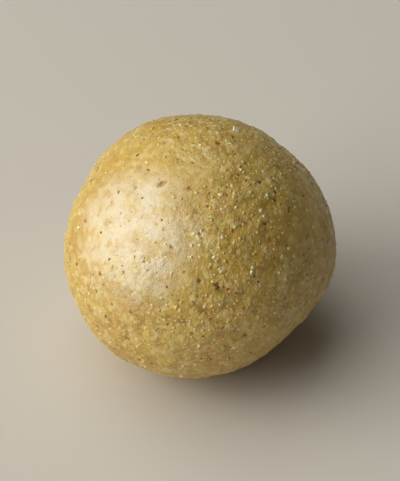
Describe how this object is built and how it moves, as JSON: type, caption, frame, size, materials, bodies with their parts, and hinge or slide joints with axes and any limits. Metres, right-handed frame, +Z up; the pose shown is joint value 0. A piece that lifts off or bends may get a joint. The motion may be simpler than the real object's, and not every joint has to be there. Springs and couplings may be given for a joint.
{
  "type": "millet ladoo",
  "caption": "Ball-shaped millet ladoo, a hand-rolled sweet of flour, ghee and sugar, with soft palm flats, a fine grainy surface and a small flat spot to rest on.",
  "frame": {"origin": "middle of the small flat spot that the ball rests on", "axes": "+Z up out of the rest spot, -Y towards the side that the picture shows, +X to the right of that view"},
  "size_m": [0.041, 0.0397, 0.0392],
  "materials": {
    "millet_mass": "matte"
  },
  "bodies": {
    "root": {"ladoo": "millet_mass"}
  },
  "joints": []
}
